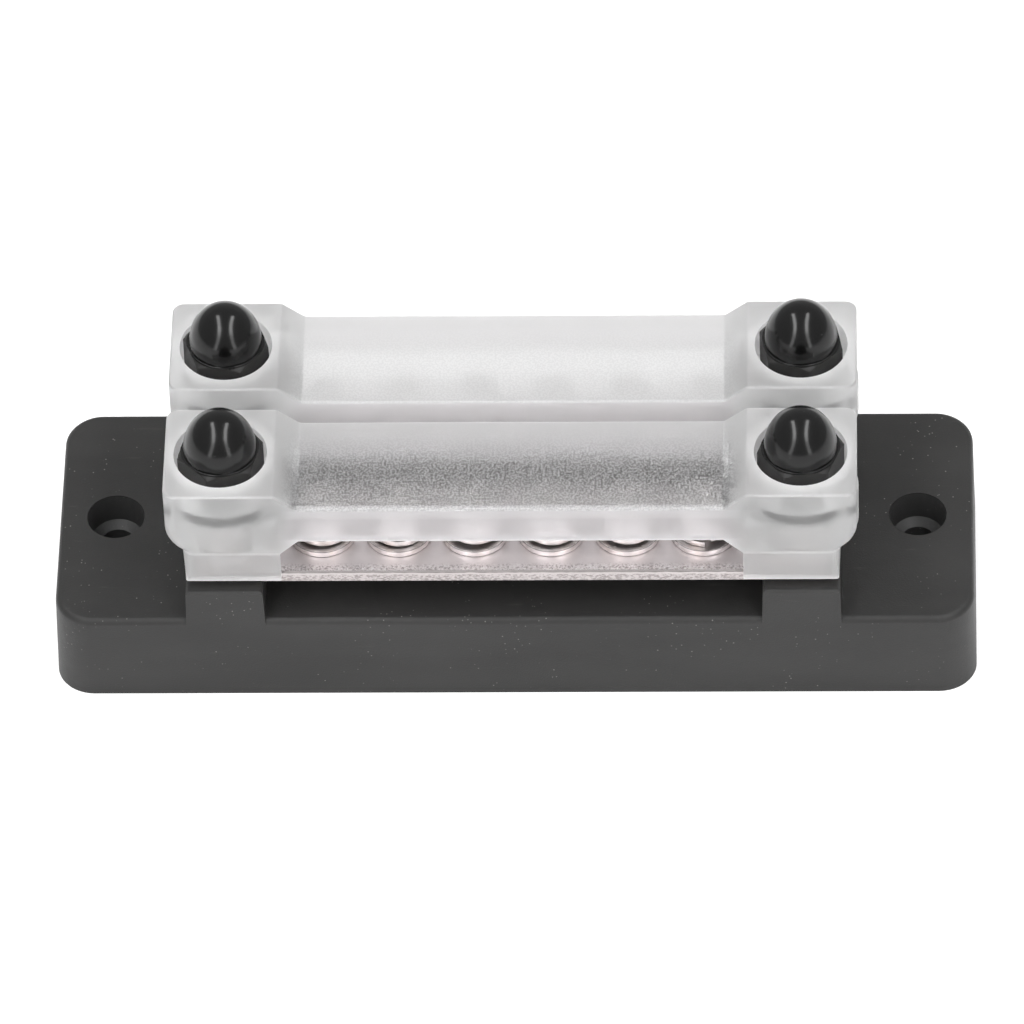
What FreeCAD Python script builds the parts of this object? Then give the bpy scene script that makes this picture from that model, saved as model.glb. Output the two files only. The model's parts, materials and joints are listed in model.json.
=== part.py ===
import FreeCAD, Part
import math
import os

import Sketcher

# Power distribution block: a moulded base carries two flat busbars on raised pedestals.
# Each busbar has a row of clamping screws and two studs, and a moulded cover held by domed cap nuts.
# The frame has +X along the rows, +Y from the front row to the rear row and +Z up.
# Its origin is the middle of the base's underside.

# Driving dimensions: millimetres, degrees, or plain counts
DIMENSIONS = (
    ("base_length", 121.4, "overall length of the base at its foot"),
    ("base_width", 38.0, "overall width of the base at its foot"),
    ("deck_height", 13.8, "height of the base's flat deck"),
    ("draft_angle", 1.5, "moulding draft of the base's walls, in degrees"),
    ("base_corner_radius", 5.0, "plan radius of the base's corners"),
    ("deck_edge_radius", 0.9, "rounding of the deck's edge"),
    ("base_wall", 2.6, "outer wall left beside the cores in the underside"),
    ("deck_thickness", 3.0, "deck left above the cores"),
    ("core_rib", 1.8, "rib between two cores"),
    ("core_columns", 5, "columns of cores between the pedestals"),
    ("core_lines", 3, "cores across the base in each column"),
    ("core_field_length", 58.0, "length of the field of cores between the pedestals"),
    ("end_core_length", 9.8, "length of the core at each corner"),
    ("end_core_width", 8.6, "width of the core at each corner"),
    ("mounting_spacing", 106.0, "distance between the two mounting holes"),
    ("mounting_hole", 4.4, "mounting hole"),
    ("counterbore_mouth", 7.6, "counterbore diameter at the deck"),
    ("counterbore_foot", 6.9, "counterbore diameter at its foot"),
    ("counterbore_depth", 4.2, "depth of the counterbore"),
    ("counterbore_cone", 0.7, "depth of the cone under the screw head"),
    ("row_pitch", 19.2, "distance between the two rows"),
    ("stud_spacing", 75.5, "distance between the two studs of a row"),
    ("pedestal_rise", 5.3, "height of the pedestals above the deck"),
    ("pedestal_width", 10.1, "width of a pedestal at its top"),
    ("pedestal_edge_bevel", 0.3, "bevel of a pedestal's top edge"),
    ("busbar_length", 83.4, "length of a busbar"),
    ("busbar_thickness", 2.0, "thickness of a busbar"),
    ("busbar_clearance", 0.15, "gap between a busbar's side and the cover's skirt"),
    ("busbar_corner_radius", 1.0, "plan radius of a busbar's corners"),
    ("busbar_edge_bevel", 0.2, "bevel all round a busbar's faces"),
    ("terminals", 6, "clamping screws in a row"),
    ("terminal_pitch", 10.0, "distance between two clamping screws"),
    ("cover_length", 90.1, "length of a cover above its shoulders"),
    ("cover_depth", 15.8, "depth of a cover across its row"),
    ("skirt_length", 85.8, "length of a cover over its skirts"),
    ("cover_wall", 1.6, "wall and roof of a cover"),
    ("skirt_wall", 0.8, "wall of a cover's skirt, which stands beside the busbar"),
    ("skirt_taper", 0.2, "how far each end of a skirt leans in towards its foot"),
    ("cover_corner_radius", 1.6, "plan radius of a cover's corners"),
    ("cover_edge_bevel", 0.2, "bevel of a cover's top edge"),
    ("skirt_gap", 1.3, "gap between a skirt's foot and the pedestal"),
    ("skirt_height", 5.1, "height of a skirt up to its inner ledge"),
    ("shoulder_rise", 1.75, "height of the sloping shoulder over the skirt"),
    ("shoulder_radius", 5.0, "rounding of the shoulder's upper corner"),
    ("window_length", 60.4, "length of the wire window between the skirts"),
    ("window_corner_run", 2.5, "length of the window's slanted corner"),
    ("window_corner_rise", 2.5, "height of the window's slanted corner"),
    ("raised_end_gap", 61.4, "distance between the two raised ends of a cover"),
    ("slope_run", 3.0, "length of the slope down from a raised end"),
    ("middle_drop", 2.5, "drop from a raised end to the cover's middle"),
    ("recess_diameter", 12.2, "round recess for a cap nut"),
    ("recess_depth", 4.9, "depth of the recess"),
    ("recess_wall", 1.1, "wall between a recess and the hollow of the cover's middle"),
    ("recess_floor", 2.2, "floor between a recess and the stud nut"),
    ("cover_stud_hole", 6.6, "hole for the stud in the recess's floor"),
    ("end_block_height", 6.5, "height of the solid block round a recess"),
    ("well_gap", 0.2, "gap round the stud's washer in its round well"),
    ("well_wall", 1.3, "wall of the well, which bulges out of the cover's end"),
    ("well_height", 5.6, "height of the well's wall under the solid block"),
    ("hex_width", 10.0, "width across flats of the stud heads, stud nuts and cap nuts"),
    ("stud_diameter", 6.0, "stud"),
    ("stud_length", 30.0, "stud under its head"),
    ("stud_head", 4.0, "height of the stud's head"),
    ("stud_seat", 9.0, "height of the face that the stud's head pulls against"),
    ("stud_tip_chamfer", 0.8, "chamfer on the stud's tip"),
    ("stud_hole_gap", 0.2, "gap round the stud in the pedestal and the busbar"),
    ("socket_gap", 0.1, "gap at each flat of the stud's head in its socket"),
    ("stud_washer_diameter", 12.0, "flat washer on a stud"),
    ("stud_washer_thickness", 1.6, "flat washer on a stud"),
    ("stud_lock_washer_diameter", 11.8, "lock washer on a stud"),
    ("stud_lock_washer_thickness", 1.6, "lock washer on a stud, pressed flat"),
    ("stud_lock_washer_split", 1.0, "width of its split"),
    ("washer_bore_gap", 0.2, "gap round the stud inside its washers"),
    ("stud_nut_height", 5.0, "hexagon nut on a stud"),
    ("thread_clearance", 0.05, "radial running clearance of every thread"),
    ("nut_chamfer", 0.5, "bevel of a nut's corners"),
    ("cap_hex_height", 5.8, "hexagon of a cap nut"),
    ("cap_neck", 1.15, "straight part of the dome above the hexagon"),
    ("cap_dome_radius", 4.8, "dome of a cap nut"),
    ("cap_tip_clearance", 0.5, "space above the stud's tip inside a cap nut"),
    ("screw_diameter", 4.0, "clamping screw"),
    ("screw_length", 6.0, "clamping screw under its head"),
    ("screw_tip_chamfer", 0.4, "chamfer on the screw's tip"),
    ("screw_head_diameter", 8.0, "pan head"),
    ("screw_head_height", 3.0, "pan head"),
    ("screw_head_bevel", 1.05, "bevel that stands for the pan head's rounding"),
    ("drive_span", 4.4, "cross recess, tip to tip"),
    ("drive_width", 1.1, "width of one wing of the cross recess"),
    ("drive_depth", 1.7, "depth of the cross recess"),
    ("washer_diameter", 9.0, "flat washer under a clamping screw"),
    ("washer_hole", 4.3, "hole of a flat washer or lock washer"),
    ("washer_thickness", 1.0, "flat washer under a clamping screw"),
    ("lock_washer_diameter", 7.6, "split lock washer"),
    ("lock_washer_thickness", 0.9, "wire of a split lock washer"),
    ("lock_washer_lead", 0.95, "rise of a split lock washer in a full turn"),
    ("lock_washer_turns", 0.965, "part of a turn that a split lock washer fills"),
    ("screw_seat_gap", 0.03, "slack between a lock washer and the screw's head"),
)

# Heights and places that follow from the driving dimensions
LEVELS = (
    ("row_offset", "=dims.row_pitch / 2"),
    ("stud_offset", "=dims.stud_spacing / 2"),
    ("pedestal_top", "=dims.deck_height + dims.pedestal_rise"),
    ("busbar_top", "=pedestal_top + dims.busbar_thickness"),
    ("busbar_width", "=dims.cover_depth - 2 * (dims.skirt_wall + dims.busbar_clearance)"),
    ("stud_lock_bottom", "=busbar_top + dims.stud_washer_thickness"),
    ("stud_nut_bottom", "=stud_lock_bottom + dims.stud_lock_washer_thickness"),
    ("stud_nut_top", "=stud_nut_bottom + dims.stud_nut_height"),
    ("cap_nut_seat", "=stud_nut_top + dims.recess_floor"),
    ("cover_top", "=cap_nut_seat + dims.recess_depth"),
    ("block_underside", "=cover_top - dims.end_block_height"),
    ("well_bottom", "=block_underside - dims.well_height"),
    ("well_bore", "=dims.stud_washer_diameter + 2 * dims.well_gap"),
    ("middle_top", "=cover_top - dims.middle_drop"),
    ("skirt_bottom", "=pedestal_top + dims.skirt_gap"),
    ("skirt_top", "=skirt_bottom + dims.skirt_height"),
    ("shoulder_top", "=skirt_top + dims.shoulder_rise"),
    ("window_top", "=skirt_top + dims.window_corner_rise"),
    ("stud_top", "=dims.stud_seat + dims.stud_length"),
    ("cap_bore_depth", "=stud_top + dims.cap_tip_clearance - cap_nut_seat"),
    ("stud_bore", "=dims.stud_diameter + 2 * dims.thread_clearance"),
    ("screw_bore", "=dims.screw_diameter + 2 * dims.thread_clearance"),
    ("lock_washer_bottom", "=busbar_top + dims.washer_thickness"),
    ("lock_washer_rise", "=dims.lock_washer_lead * dims.lock_washer_turns"),
    ("lock_washer_top", "=lock_washer_bottom + dims.lock_washer_thickness + lock_washer_rise"),
    ("screw_seat", "=lock_washer_top + dims.screw_seat_gap"),
    ("core_depth", "=dims.deck_height - dims.deck_thickness"),
    ("core_pitch", "=dims.core_field_length / dims.core_columns"),
    ("core_length", "=core_pitch - dims.core_rib"),
    ("core_line_pitch", "=(dims.base_width - 2 * dims.base_wall + dims.core_rib) / dims.core_lines"),
    ("core_width", "=core_line_pitch - dims.core_rib"),
)

# How far each fastener happens to be turned about its own axis, in degrees, where it was tightened
CAP_NUT_TURNS = {"front_left": 15.0, "front_right": 8.0, "rear_left": 51.5, "rear_right": 42.0}
STUD_NUT_TURN = 20.0
STUD_SPLIT_TURNS = {"front_left": 60.0, "front_right": 32.0, "rear_left": 206.0, "rear_right": 168.0}
LOCK_WASHER_TURNS = {
    "front": (60.0, 20.0, 150.0, 75.0, 110.0, 272.0),
    "rear": (200.0, 95.0, 310.0, 35.0, 165.0, 250.0),
}
SCREW_TURNS = {
    "front": (12.0, 70.0, 33.0, 51.0, 5.0, 80.0),
    "rear": (44.0, 18.0, 62.0, 8.0, 75.0, 27.0),
}

ROWS = {"front": -1, "rear": 1}
SIDES = {"left": -1, "right": 1}

TOLERANCE = 1e-4

doc = FreeCAD.newDocument("power_distribution_block")


def fill_sheet(name, rows):
    """Add a spreadsheet whose column B holds the named values."""
    sheet = doc.addObject("Spreadsheet::Sheet", name)
    for number, row in enumerate(rows, start=1):
        alias, content = row[0], row[1]
        note = row[2] if len(row) > 2 else ""
        sheet.set(f"A{number}", alias)
        sheet.set(f"B{number}", str(content))
        sheet.set(f"C{number}", note)
        sheet.setAlias(f"B{number}", alias)
    doc.recompute()
    return sheet


dims = fill_sheet("dims", DIMENSIONS)
levels = fill_sheet("levels", LEVELS)


def value(expression):
    """Work out an expression of named values."""
    return float(dims.evalExpression(str(expression)))


# Sketches and features

def new_body(label):
    body = doc.addObject("PartDesign::Body", label)
    body.Label = label
    return body


def origin_object(body, role):
    return next(item for item in body.Origin.OriginFeatures if item.Role == role)


def new_sketch(body, plane, height=None):
    """Add a sketch on one of the body's origin planes, raised along the plane's normal."""
    sketch = body.newObject("Sketcher::SketchObject", "Sketch")
    sketch.AttachmentSupport = (origin_object(body, plane), [""])
    sketch.MapMode = "FlatFace"
    if height is not None:
        sketch.setExpression("AttachmentOffset.Base.z", height)
    return sketch


def drive(sketch, kind, places, expression):
    """Add a driving dimension bound to an expression."""
    number = sketch.addConstraint(Sketcher.Constraint(kind, *places, value(expression)))
    sketch.setExpression(f"Constraints[{number}]", expression)


def drive_point(sketch, geometry, point, x, y):
    drive(sketch, "DistanceX", (-1, 1, geometry, point), x)
    drive(sketch, "DistanceY", (-1, 1, geometry, point), y)


def draw_polygon(sketch, corners):
    """Draw a closed polygon through corners given as pairs of expressions."""
    first = sketch.GeometryCount
    count = len(corners)
    points = [FreeCAD.Vector(value(x), value(y), 0) for x, y in corners]
    for number in range(count):
        sketch.addGeometry(Part.LineSegment(points[number], points[(number + 1) % count]), False)
    for number, (x, y) in enumerate(corners):
        before = first + (number - 1) % count
        sketch.addConstraint(Sketcher.Constraint("Coincident", before, 2, first + number, 1))
        drive_point(sketch, first + number, 1, x, y)


def draw_rectangle(sketch, x_low, x_high, y_low, y_high):
    draw_polygon(sketch, [(x_low, y_low), (x_high, y_low), (x_high, y_high), (x_low, y_high)])


def draw_hexagon(sketch, x, y, width):
    """Draw a hexagon with two corners along X, given its width across flats."""
    far = f"({width}) / sqrt(3)"
    near = f"({width}) / (2 * sqrt(3))"
    half = f"({width}) / 2"
    offsets = [(far, "0"), (near, half), (f"-{near}", half)]
    offsets += [(f"-{far}", "0"), (f"-{near}", f"-{half}"), (near, f"-{half}")]
    draw_polygon(sketch, [(f"{x} + {dx}", f"{y} + {dy}") for dx, dy in offsets])


def draw_circle(sketch, x, y, diameter):
    centre = FreeCAD.Vector(value(x), value(y), 0)
    circle = Part.Circle(centre, FreeCAD.Vector(0, 0, 1), value(diameter) / 2)
    geometry = sketch.addGeometry(circle, False)
    drive_point(sketch, geometry, 3, x, y)
    drive(sketch, "Diameter", (geometry,), diameter)


def mirrored_outline(half):
    """Complete an outline that is the same on both sides of the sketch's vertical axis."""
    return half + [(f"-({x})", y) for x, y in reversed(half)]


def add_feature(body, kind, sketch, length, both_sides=False, reverse=False):
    feature = body.newObject(f"PartDesign::{kind}", kind)
    feature.Profile = sketch
    feature.setExpression("Length", length)
    if both_sides:
        feature.SideType = "Symmetric"
    feature.Reversed = reverse
    sketch.Visibility = False
    return feature


def add_pad(body, sketch, length, **options):
    return add_feature(body, "Pad", sketch, length, **options)


def add_pocket(body, sketch, length, **options):
    """Cut along the sketch, and make sure that material was taken away."""
    doc.recompute()
    before = body.Shape.Volume
    pocket = add_feature(body, "Pocket", sketch, length, **options)
    doc.recompute()
    if body.Shape.Volume > before - TOLERANCE:
        raise ValueError(f"a pocket of {body.Label} cuts nothing")
    return pocket


def add_turned(body, kind, sketch):
    """Turn a sketch about its own vertical axis."""
    feature = body.newObject(f"PartDesign::{kind}", kind)
    feature.Profile = sketch
    feature.ReferenceAxis = (sketch, ["V_Axis"])
    feature.Angle = 360
    sketch.Visibility = False
    return feature


def edge_names(shape, chosen):
    """Name the edges that pass a test on the edge."""
    return [f"Edge{number}" for number, edge in enumerate(shape.Edges, start=1) if chosen(edge)]


def lies_at(edge, height):
    return all(abs(vertex.Z - height) < TOLERANCE for vertex in edge.Vertexes)


def add_dressing(body, kind, size_name, size, chosen):
    """Round or bevel the chosen edges of the body so far."""
    doc.recompute()
    base = body.Tip
    names = edge_names(base.Shape, chosen)
    feature = body.newObject(f"PartDesign::{kind}", kind)
    feature.Base = (base, names)
    feature.setExpression(size_name, size)
    doc.recompute()
    return feature


def add_fillet(body, radius, chosen):
    return add_dressing(body, "Fillet", "Radius", radius, chosen)


def add_chamfer(body, size, chosen):
    return add_dressing(body, "Chamfer", "Size", size, chosen)


def place(item, x="0", y="0", z="0", turn=0.0):
    """Set the item's place from expressions, turned about the vertical."""
    item.Placement = FreeCAD.Placement(FreeCAD.Vector(), FreeCAD.Rotation(FreeCAD.Vector(0, 0, 1), turn))
    for axis, expression in zip("xyz", (x, y, z)):
        item.setExpression(f"Placement.Base.{axis}", expression)


def signed(sign, expression):
    return expression if sign > 0 else f"-{expression}"


def stud_places():
    """List the four studs as name, X expression and Y expression."""
    places = []
    for row, across in ROWS.items():
        for side, along in SIDES.items():
            x = signed(along, "levels.stud_offset")
            y = signed(across, "levels.row_offset")
            places.append((f"{row}_{side}", x, y))
    return places


def terminal_places():
    """List the X expressions of the clamping screws of a row."""
    count = int(value("dims.terminals"))
    return [f"dims.terminal_pitch * {number - (count - 1) / 2}" for number in range(count)]


# Moulded base

def make_base():
    body = new_body("base")

    plate = new_sketch(body, "XY_Plane")
    length, width = "dims.base_length / 2", "dims.base_width / 2"
    draw_rectangle(plate, f"-{length}", length, f"-{width}", width)
    deck = add_pad(body, plate, "dims.deck_height")
    deck.setExpression("TaperAngle", "-dims.draft_angle")
    half_height = value("dims.deck_height") / 2
    add_fillet(body, "dims.base_corner_radius", lambda edge: edge.BoundBox.ZLength > half_height)
    add_fillet(body, "dims.deck_edge_radius", lambda edge: lies_at(edge, value("dims.deck_height")))

    # Each pedestal grows out of the foot, so that its front stays flush with the drafted wall
    pedestals = new_sketch(body, "XY_Plane")
    spread = "levels.pedestal_top * tan(dims.draft_angle)"
    half_width = f"(dims.pedestal_width / 2 + {spread})"
    inner = "levels.row_offset - dims.cover_depth / 2"
    for along in SIDES.values():
        x = signed(along, "levels.stud_offset")
        for across in ROWS.values():
            y_edges = sorted((signed(across, f"({inner})"), signed(across, f"({width})")), key=value)
            draw_rectangle(pedestals, f"{x} - {half_width}", f"{x} + {half_width}", *y_edges)
    risers = add_pad(body, pedestals, "levels.pedestal_top")
    risers.setExpression("TaperAngle", "-dims.draft_angle")
    add_chamfer(body, "dims.pedestal_edge_bevel", lambda edge: lies_at(edge, value("levels.pedestal_top")))

    # Cores keep the moulding's walls even: a field between the pedestals and one at each corner
    column = new_sketch(body, "XY_Plane")
    start = "-dims.core_field_length / 2 + dims.core_rib / 2"
    lines = int(value("dims.core_lines"))
    for number in range(lines):
        middle = f"levels.core_line_pitch * {number - (lines - 1) / 2}"
        low, high = f"{middle} - levels.core_width / 2", f"{middle} + levels.core_width / 2"
        draw_rectangle(column, start, f"{start} + levels.core_length", low, high)
    core = add_pocket(body, column, "levels.core_depth", reverse=True)
    field = body.newObject("PartDesign::LinearPattern", "CoreField")
    field.Originals = [core]
    field.Direction = (origin_object(body, "X_Axis"), [""])
    field.setExpression("Length", "levels.core_pitch * (dims.core_columns - 1)")
    field.Occurrences = int(value("dims.core_columns"))
    body.Tip = field

    corners = new_sketch(body, "XY_Plane")
    outer_x = "(dims.base_length / 2 - dims.base_wall)"
    inner_x = f"({outer_x} - dims.end_core_length)"
    outer_y = "(dims.base_width / 2 - dims.base_wall)"
    inner_y = f"({outer_y} - dims.end_core_width)"
    for along in SIDES.values():
        for across in ROWS.values():
            xs = sorted((signed(along, outer_x), signed(along, inner_x)), key=value)
            ys = sorted((signed(across, outer_y), signed(across, inner_y)), key=value)
            draw_rectangle(corners, *xs, *ys)
    add_pocket(body, corners, "levels.core_depth", reverse=True)

    # Counterbored mounting holes, one turned and one mirrored
    bore = new_sketch(body, "XZ_Plane")
    bore.setExpression("AttachmentOffset.Base.x", "dims.mounting_spacing / 2")
    deck_level = "dims.deck_height"
    seat = "dims.deck_height - dims.counterbore_depth"
    cone = f"{seat} - dims.counterbore_cone"
    profile = [
        ("0", "0"),
        ("dims.mounting_hole / 2", "0"),
        ("dims.mounting_hole / 2", cone),
        ("dims.counterbore_foot / 2", seat),
        ("dims.counterbore_mouth / 2", deck_level),
        ("0", deck_level),
    ]
    draw_polygon(bore, profile)
    doc.recompute()
    groove = add_turned(body, "Groove", bore)
    pair = body.newObject("PartDesign::Mirrored", "MountingPair")
    pair.Originals = [groove]
    pair.MirrorPlane = (origin_object(body, "YZ_Plane"), [""])
    body.Tip = pair

    # Stud holes with hexagonal sockets in the underside
    holes = new_sketch(body, "XY_Plane")
    sockets = new_sketch(body, "XY_Plane")
    for _, x, y in stud_places():
        draw_circle(holes, x, y, "dims.stud_diameter + 2 * dims.stud_hole_gap")
        draw_hexagon(sockets, x, y, "dims.hex_width + 2 * dims.socket_gap")
    add_pocket(body, holes, "levels.pedestal_top", reverse=True)
    add_pocket(body, sockets, "dims.stud_seat", reverse=True)
    return body


# Busbars

def make_busbar(row):
    body = new_body(f"{row}_busbar")
    outline = new_sketch(body, "XY_Plane")
    length, width = "dims.busbar_length / 2", "levels.busbar_width / 2"
    draw_rectangle(outline, f"-{length}", length, f"-{width}", width)
    add_pad(body, outline, "dims.busbar_thickness")
    add_fillet(body, "dims.busbar_corner_radius", lambda edge: edge.BoundBox.ZLength > TOLERANCE)
    add_chamfer(body, "dims.busbar_edge_bevel", lambda edge: edge.BoundBox.ZLength < TOLERANCE)
    holes = new_sketch(body, "XY_Plane")
    for along in SIDES.values():
        x = signed(along, "levels.stud_offset")
        draw_circle(holes, x, "0", "dims.stud_diameter + 2 * dims.stud_hole_gap")
    for x in terminal_places():
        draw_circle(holes, x, "0", "levels.screw_bore")
    add_pocket(body, holes, "dims.busbar_thickness", reverse=True)
    place(body, y=signed(ROWS[row], "levels.row_offset"), z="levels.pedestal_top")
    return body


# Covers

def cover_outline():
    """Trace half of a cover's side view, from the window's top edge round to the middle of the roof."""
    window = "dims.window_length / 2"
    skirt = "dims.skirt_length / 2"
    end = "dims.cover_length / 2"
    raised = "dims.raised_end_gap / 2"
    return [
        (f"{window} - dims.window_corner_run", "levels.window_top"),
        (window, "levels.skirt_top"),
        (window, "levels.skirt_bottom"),
        (f"{skirt} - dims.skirt_taper", "levels.skirt_bottom"),
        (skirt, "levels.skirt_top"),
        (end, "levels.shoulder_top"),
        (end, "levels.cover_top"),
        (raised, "levels.cover_top"),
        (f"{raised} - dims.slope_run", "levels.middle_top"),
    ]


def hollow_outline():
    """Trace half of the side view of the hollow above the skirt's ledge."""
    end = "dims.cover_length / 2 - dims.cover_wall"
    block = "levels.stud_offset - dims.recess_diameter / 2 - dims.recess_wall"
    return [
        ("dims.skirt_length / 2 - dims.cover_wall", "levels.skirt_top"),
        (end, "levels.shoulder_top"),
        (end, "levels.block_underside"),
        (block, "levels.block_underside"),
        ("dims.raised_end_gap / 2 - dims.slope_run", "levels.middle_top - dims.cover_wall"),
    ]


def is_shoulder(edge):
    """Tell whether an edge runs across the cover at the upper corner of a shoulder."""
    at_end = all(abs(abs(v.X) - value("dims.cover_length / 2")) < TOLERANCE for v in edge.Vertexes)
    return at_end and lies_at(edge, value("levels.shoulder_top"))


def is_cover_corner(edge):
    """Tell whether an edge runs up one of the cover's four outer corners."""
    foot = value("dims.skirt_length / 2 - dims.skirt_taper")
    return edge.BoundBox.ZLength > TOLERANCE and all(abs(v.X) > foot - TOLERANCE for v in edge.Vertexes)


def is_cover_brow(edge):
    """Tell whether an edge goes round the top of the cover, over the slopes too."""
    side = value("dims.cover_depth / 2")
    corner = value("dims.cover_length / 2 - dims.cover_corner_radius")
    if min(v.Z for v in edge.Vertexes) < value("levels.middle_top") - TOLERANCE:
        return False
    on_side = all(abs(abs(v.Y) - side) < TOLERANCE for v in edge.Vertexes)
    round_end = all(abs(v.X) > corner - TOLERANCE for v in edge.Vertexes)
    return on_side or (round_end and lies_at(edge, value("levels.cover_top")))


def is_skirt_inner_corner(edge):
    """Tell whether an edge is an upright inner corner at the skirt's end."""
    inner = value("dims.skirt_length / 2 - dims.skirt_taper - dims.skirt_wall")
    box = edge.BoundBox
    upright = box.XLength < TOLERANCE and box.YLength < TOLERANCE
    return upright and abs(abs(box.XMax) - inner) < TOLERANCE


def make_cover(row):
    body = new_body(f"{row}_cover")
    side = new_sketch(body, "XZ_Plane")
    draw_polygon(side, mirrored_outline(cover_outline()))
    add_pad(body, side, "dims.cover_depth", both_sides=True)
    add_fillet(body, "dims.shoulder_radius", is_shoulder)
    add_fillet(body, "dims.cover_corner_radius", is_cover_corner)
    add_chamfer(body, "dims.cover_edge_bevel", is_cover_brow)

    hollow = new_sketch(body, "XZ_Plane")
    draw_polygon(hollow, mirrored_outline(hollow_outline()))
    add_pocket(body, hollow, "dims.cover_depth - 2 * dims.cover_wall", both_sides=True)

    # The thin skirt stands beside the busbar, with a ledge where it meets the thicker wall
    skirt = new_sketch(body, "XY_Plane", "levels.skirt_bottom")
    length = "(dims.skirt_length / 2 - dims.skirt_taper - dims.skirt_wall)"
    depth = "(dims.cover_depth / 2 - dims.skirt_wall)"
    draw_rectangle(skirt, f"-{length}", length, f"-{depth}", depth)
    add_pocket(body, skirt, "dims.skirt_height", reverse=True)
    add_fillet(body, "dims.cover_corner_radius - dims.skirt_wall", is_skirt_inner_corner)

    # A round well holds each stud's nut and washers, and opens the skirt's end where it cuts through
    wells = new_sketch(body, "XY_Plane", "levels.well_bottom")
    bores = new_sketch(body, "XY_Plane", "levels.skirt_bottom")
    recesses = new_sketch(body, "XY_Plane", "levels.cover_top")
    stud_holes = new_sketch(body, "XY_Plane", "levels.cap_nut_seat")
    for along in SIDES.values():
        x = signed(along, "levels.stud_offset")
        draw_circle(wells, x, "0", "levels.well_bore + 2 * dims.well_wall")
        draw_circle(bores, x, "0", "levels.well_bore")
        draw_circle(recesses, x, "0", "dims.recess_diameter")
        draw_circle(stud_holes, x, "0", "dims.cover_stud_hole")
    add_pad(body, wells, "dims.well_height")
    add_pocket(body, bores, "levels.stud_nut_top - levels.skirt_bottom", reverse=True)
    add_pocket(body, recesses, "dims.recess_depth")
    add_pocket(body, stud_holes, "dims.recess_floor")
    place(body, y=signed(ROWS[row], "levels.row_offset"))
    return body


# Stud hardware

def make_stud(name, x, y):
    """Make a hexagon bolt whose bearing face is at its own height zero."""
    body = new_body(f"{name}_stud")
    head = new_sketch(body, "XY_Plane")
    draw_hexagon(head, "0", "0", "dims.hex_width")
    add_pad(body, head, "dims.stud_head", reverse=True)
    shank = new_sketch(body, "XY_Plane")
    draw_circle(shank, "0", "0", "dims.stud_diameter")
    add_pad(body, shank, "dims.stud_length")
    add_chamfer(body, "dims.stud_tip_chamfer", lambda edge: lies_at(edge, value("dims.stud_length")))
    place(body, x, y, "dims.stud_seat")
    return body


def make_washer(name, outer, inner, thickness):
    """Make a flat ring as a cylinder less a cylinder."""
    disc = doc.addObject("Part::Cylinder", f"{name}_disc")
    disc.setExpression("Radius", f"({outer}) / 2")
    disc.setExpression("Height", thickness)
    hole = doc.addObject("Part::Cylinder", f"{name}_hole")
    hole.setExpression("Radius", f"({inner}) / 2")
    hole.setExpression("Height", thickness)
    ring = doc.addObject("Part::Cut", name)
    ring.Base = disc
    ring.Tool = hole
    ring.Label = name
    return ring


def make_stud_washer(name, x, y):
    bore = "dims.stud_diameter + 2 * dims.washer_bore_gap"
    ring = make_washer(f"{name}_stud_washer", "dims.stud_washer_diameter", bore, "dims.stud_washer_thickness")
    place(ring, x, y, "levels.busbar_top")
    return ring


def make_stud_lock_washer(name, x, y):
    """Make a split ring, pressed flat."""
    body = new_body(f"{name}_stud_lock_washer")
    ring = new_sketch(body, "XY_Plane")
    draw_circle(ring, "0", "0", "dims.stud_lock_washer_diameter")
    draw_circle(ring, "0", "0", "dims.stud_diameter + 2 * dims.washer_bore_gap")
    add_pad(body, ring, "dims.stud_lock_washer_thickness")
    split = new_sketch(body, "XY_Plane")
    half = "dims.stud_lock_washer_split / 2"
    draw_rectangle(split, "0", "dims.stud_lock_washer_diameter", f"-{half}", half)
    add_pocket(body, split, "dims.stud_lock_washer_thickness", reverse=True)
    place(body, x, y, "levels.stud_lock_bottom", STUD_SPLIT_TURNS[name])
    return body


def nut_bevel_profile(height):
    """Outline the ring that a turned bevel takes off a hexagon's top corners."""
    outer = "dims.hex_width / sqrt(3) + dims.nut_chamfer"
    inner = "dims.hex_width / 2 - dims.nut_chamfer / 2"
    low = f"{height} - ({outer} - ({inner})) / 2"
    return [(inner, height), (outer, low), (outer, height)]


def make_stud_nut(name, x, y):
    body = new_body(f"{name}_stud_nut")
    hexagon = new_sketch(body, "XY_Plane")
    draw_hexagon(hexagon, "0", "0", "dims.hex_width")
    draw_circle(hexagon, "0", "0", "levels.stud_bore")
    add_pad(body, hexagon, "dims.stud_nut_height")
    bevel = new_sketch(body, "XZ_Plane")
    draw_polygon(bevel, nut_bevel_profile("dims.stud_nut_height"))
    doc.recompute()
    add_turned(body, "Groove", bevel)
    place(body, x, y, "levels.stud_nut_bottom", STUD_NUT_TURN)
    return body


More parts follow.
